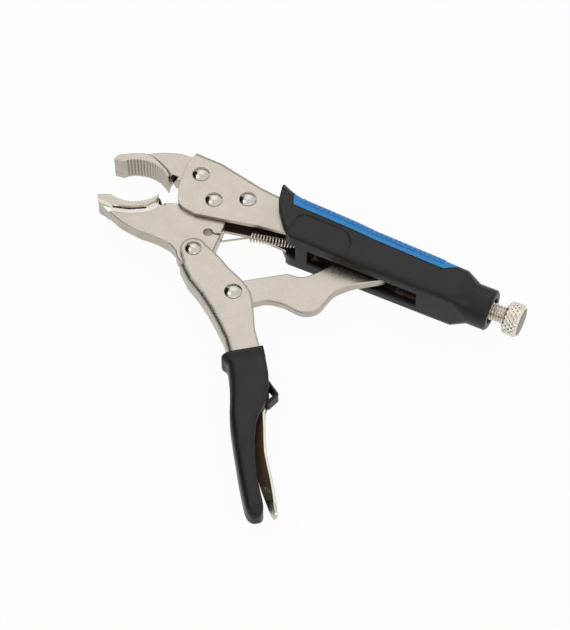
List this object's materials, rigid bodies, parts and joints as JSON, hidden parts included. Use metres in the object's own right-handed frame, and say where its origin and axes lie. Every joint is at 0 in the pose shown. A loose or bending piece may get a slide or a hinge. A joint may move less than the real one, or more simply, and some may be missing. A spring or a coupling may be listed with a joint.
{
  "type": "locking pliers",
  "caption": "Curved-jaw locking pliers with a screw-set upper handle, toothed jaws, a toggle link, a return spring and a release lever in the lower handle.",
  "frame": {"origin": "under the middle of the tool's box, on the plane that the tool lies on", "axes": "+X from the jaws to the adjusting knob along the screw, +Y from the moving jaw towards the fixed jaw, +Z out of the side that faces up; the rivets run along Z"},
  "size_m": [0.2454, 0.1972, 0.0303],
  "materials": {
    "satin_nickel": "bead-blasted nickel plate on pressed and forged steel",
    "polished_nickel": "polished nickel-plated rivet",
    "bush_steel": "turned and plated steel",
    "black_grip": "matte moulded grip with a fine spark texture",
    "blue_insert": "soft ribbed insert",
    "spring_wire": "drawn spring wire",
    "screw_steel": "plated screw with a knurled head",
    "lever_steel": "bright nickel-plated sheet"
  },
  "bodies": {
    "upper_handle": {"frame_channel": "satin_nickel", "fixed_jaw": "satin_nickel", "front_jaw_rivet": "polished_nickel", "rear_jaw_rivet": "polished_nickel", "jaw_pivot_rivet": "polished_nickel", "threaded_bush": "bush_steel", "grip_sleeve": "black_grip", "grip_insert": "blue_insert", "spring_anchor_pin": "polished_nickel", "tension_spring": "spring_wire"},
    "jaw": {"moving_jaw": "satin_nickel"},
    "lower_handle": {"lower_handle": "satin_nickel", "handle_pivot_rivet": "polished_nickel", "link_pivot_rivet": "polished_nickel", "handle_sheath": "black_grip", "release_lever_pin": "polished_nickel"},
    "link": {"toggle_link": "satin_nickel"},
    "lever": {"release_lever": "lever_steel"},
    "screw": {"adjusting_screw": "screw_steel"},
    "knob": {"screw_knob": "screw_steel"}
  },
  "joints": [
    {"name": "jaw_hinge", "type": "hinge", "parent": "upper_handle", "child": "jaw", "pos_m": [-0.05979, 0.07161, 0.01513], "axis": [0, 0, -1], "range_deg": [0, 23], "stiffness_Nm_per_rad": 0.4, "springref_deg": -20.05, "deforming": ["tension_spring"]},
    {"name": "handle_hinge", "type": "hinge", "parent": "jaw", "child": "lower_handle", "pos_m": [-0.05457, 0.03679, 0.01513], "axis": [0, 0, 1], "range_deg": [0, 50]},
    {"name": "link_hinge", "type": "hinge", "parent": "lower_handle", "child": "link", "pos_m": [-0.02202, 0.02047, 0.01513], "axis": [0, 0, -1], "range_deg": [0, 37]},
    {"name": "lever_hinge", "type": "hinge", "parent": "lower_handle", "child": "lever", "pos_m": [0.01975, -0.03332, 0.01513], "axis": [0, 0, -1], "range_deg": [0, 2]},
    {"name": "screw_travel", "type": "slide", "parent": "upper_handle", "child": "screw", "axis": [1, 0, 0], "range_m": [0, 0.028]},
    {"name": "screw_turn", "type": "hinge", "parent": "screw", "child": "knob", "pos_m": [0.11821, 0.07382, 0.01513], "axis": [1, 0, 0], "range_deg": [0, 6721]}
  ],
  "couplings": [
    {"joint": "jaw_hinge", "follows": "handle_hinge", "ratio": 0.46},
    {"joint": "link_hinge", "follows": "handle_hinge", "ratio": 0.74},
    {"joint": "screw_turn", "follows": "screw_travel", "rad_per_m": 4188.8}
  ]
}
